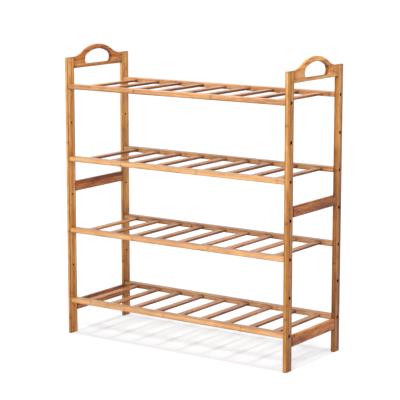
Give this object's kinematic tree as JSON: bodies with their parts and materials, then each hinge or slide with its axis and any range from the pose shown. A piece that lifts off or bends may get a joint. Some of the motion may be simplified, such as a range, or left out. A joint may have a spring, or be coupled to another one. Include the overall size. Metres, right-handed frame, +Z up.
{
  "type": "tiered shoe rack",
  "caption": "Free-standing tiered rack of slatted bamboo shelves between two side frames with arched, pierced handles and spare screw holes for moving the shelves.",
  "frame": {"origin": "on the floor, at the centre of the rack's width and depth", "axes": "+X to the right as seen from the front, +Y from the front to the back, +Z up"},
  "size_m": [0.68, 0.26, 0.76],
  "materials": {
    "bamboo_posts": "satin lacquer",
    "bamboo_side_panels": "satin lacquer",
    "bamboo_shelf_rails": "satin lacquer",
    "bamboo_slats": "satin lacquer",
    "dowel_wood": "raw, fluted",
    "screw_steel": "black zinc plated"
  },
  "bodies": {
    "root": {"left_front_post": "bamboo_posts", "left_back_post": "bamboo_posts", "right_front_post": "bamboo_posts", "right_back_post": "bamboo_posts", "left_handle_panel": "bamboo_side_panels", "left_middle_side_rail": "bamboo_side_panels", "left_bottom_side_rail": "bamboo_side_panels", "right_handle_panel": "bamboo_side_panels", "right_middle_side_rail": "bamboo_side_panels", "right_bottom_side_rail": "bamboo_side_panels", "left_frame_dowels": "dowel_wood", "right_frame_dowels": "dowel_wood", "shelf_1_front_rail": "bamboo_shelf_rails", "shelf_1_back_rail": "bamboo_shelf_rails", "shelf_2_front_rail": "bamboo_shelf_rails", "shelf_2_back_rail": "bamboo_shelf_rails", "shelf_3_front_rail": "bamboo_shelf_rails", "shelf_3_back_rail": "bamboo_shelf_rails", "shelf_4_front_rail": "bamboo_shelf_rails", "shelf_4_back_rail": "bamboo_shelf_rails", "shelf_1_slat_1": "bamboo_slats", "shelf_1_slat_2": "bamboo_slats", "shelf_1_slat_3": "bamboo_slats", "shelf_1_slat_4": "bamboo_slats", "shelf_1_slat_5": "bamboo_slats", "shelf_1_slat_6": "bamboo_slats", "shelf_1_slat_7": "bamboo_slats", "shelf_1_slat_8": "bamboo_slats", "shelf_1_slat_9": "bamboo_slats", "shelf_2_slat_1": "bamboo_slats", "shelf_2_slat_2": "bamboo_slats", "shelf_2_slat_3": "bamboo_slats", "shelf_2_slat_4": "bamboo_slats", "shelf_2_slat_5": "bamboo_slats", "shelf_2_slat_6": "bamboo_slats", "shelf_2_slat_7": "bamboo_slats", "shelf_2_slat_8": "bamboo_slats", "shelf_2_slat_9": "bamboo_slats", "shelf_3_slat_1": "bamboo_slats", "shelf_3_slat_2": "bamboo_slats", "shelf_3_slat_3": "bamboo_slats", "shelf_3_slat_4": "bamboo_slats", "shelf_3_slat_5": "bamboo_slats", "shelf_3_slat_6": "bamboo_slats", "shelf_3_slat_7": "bamboo_slats", "shelf_3_slat_8": "bamboo_slats", "shelf_3_slat_9": "bamboo_slats", "shelf_4_slat_1": "bamboo_slats", "shelf_4_slat_2": "bamboo_slats", "shelf_4_slat_3": "bamboo_slats", "shelf_4_slat_4": "bamboo_slats", "shelf_4_slat_5": "bamboo_slats", "shelf_4_slat_6": "bamboo_slats", "shelf_4_slat_7": "bamboo_slats", "shelf_4_slat_8": "bamboo_slats", "shelf_4_slat_9": "bamboo_slats", "shelf_1_screws": "screw_steel", "shelf_2_screws": "screw_steel", "shelf_3_screws": "screw_steel", "shelf_4_screws": "screw_steel"}
  },
  "joints": []
}
